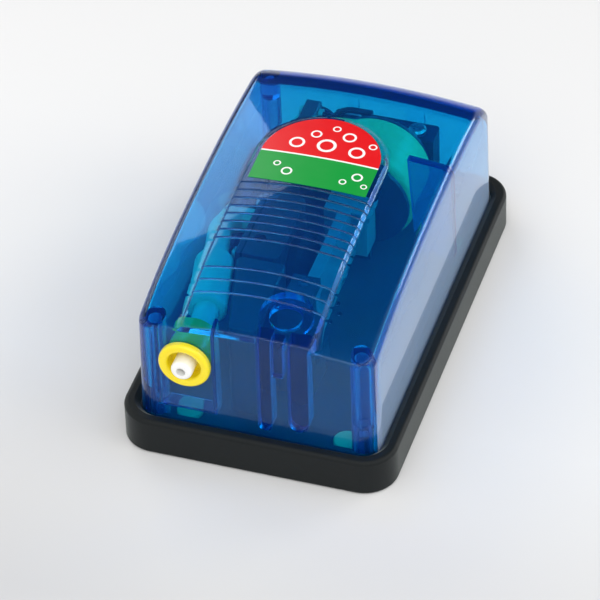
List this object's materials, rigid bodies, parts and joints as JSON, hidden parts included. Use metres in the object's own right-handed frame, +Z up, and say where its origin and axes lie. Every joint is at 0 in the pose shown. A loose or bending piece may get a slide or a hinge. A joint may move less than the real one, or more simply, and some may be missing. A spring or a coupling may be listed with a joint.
{
  "type": "aquarium air pump",
  "caption": "Small diaphragm air pump: clear crowned casing over a coil, swing arm and valve box, in a rubber boot, with one hose outlet at the front.",
  "frame": {"origin": "centre of the boot's underside", "axes": "+Z up, outlet facing -Y, +Y along the length towards the cord gland, +X to the right seen from the front"},
  "size_m": [0.07, 0.113, 0.0474],
  "materials": {
    "boot_rubber": "matt moulded rubber",
    "black_plastic": "fine moulded texture",
    "clear_blue": "clear tinted plastic, glossy",
    "zinc": "bright zinc plate",
    "label_film": "printed glossy film",
    "felt": "white felt",
    "yellow_plastic": "glossy moulded",
    "white_plastic": "satin moulded",
    "hose_rubber": "soft milky hose",
    "core_steel": "varnished steel sheets",
    "coil_tape": "wound polyester tape",
    "pale_plastic": "moulded nylon",
    "arm_plastic": "moulded nylon",
    "ferrite": "ground ferrite",
    "bright_steel": "ground",
    "black_rubber": "soft moulded rubber",
    "wire_cover": "insulated wire",
    "joint_sleeve": "crimped sleeve"
  },
  "bodies": {
    "housing": {"rubber_boot": "boot_rubber", "base_tray": "black_plastic", "top_casing": "clear_blue", "casing_screws": "zinc", "boot_rivets": "pale_plastic", "label": "label_film", "intake_felt": "felt", "filter_cap": "black_plastic", "outlet_bush": "yellow_plastic", "outlet_nozzle": "white_plastic", "air_hose": "hose_rubber", "hose_sleeve": "hose_rubber", "magnet_core": "core_steel", "coil_bobbin": "black_plastic", "coil_winding": "coil_tape", "core_screws": "zinc", "pivot_bracket": "black_plastic", "pivot_pin": "bright_steel", "valve_box": "black_plastic", "valve_gasket": "black_rubber", "valve_cover": "black_plastic", "valve_screws": "zinc", "diaphragm": "black_rubber", "silencer_box": "black_plastic", "silencer_lid": "black_plastic", "cord_gland": "black_rubber", "clamp_post": "black_plastic", "clamp_bar": "black_plastic", "lead_wires": "wire_cover", "wire_joints": "joint_sleeve"},
    "arm": {"swing_arm": "arm_plastic", "arm_magnet": "ferrite", "diaphragm_plate": "bright_steel", "diaphragm_stud": "zinc", "stud_nut": "zinc"},
    "inlet_valve": {"inlet_flap": "black_rubber"},
    "outlet_valve": {"outlet_flap": "black_rubber"}
  },
  "joints": [
    {"name": "arm_swing", "type": "hinge", "parent": "housing", "child": "arm", "pos_m": [0.0035, -0.022, 0.021], "axis": [0, 0, 1], "range_deg": [-1.5, 1.5], "stiffness_Nm_per_rad": 0.5, "deforming": ["diaphragm"]},
    {"name": "inlet_open", "type": "hinge", "parent": "housing", "child": "inlet_valve", "pos_m": [-0.00775, -0.0044, 0.0207], "axis": [0, -1, 0], "range_deg": [0, 10], "stiffness_Nm_per_rad": 0.0002},
    {"name": "outlet_open", "type": "hinge", "parent": "housing", "child": "outlet_valve", "pos_m": [-0.01075, 0.0024, 0.0207], "axis": [0, 1, 0], "range_deg": [0, 10], "stiffness_Nm_per_rad": 0.0002}
  ]
}
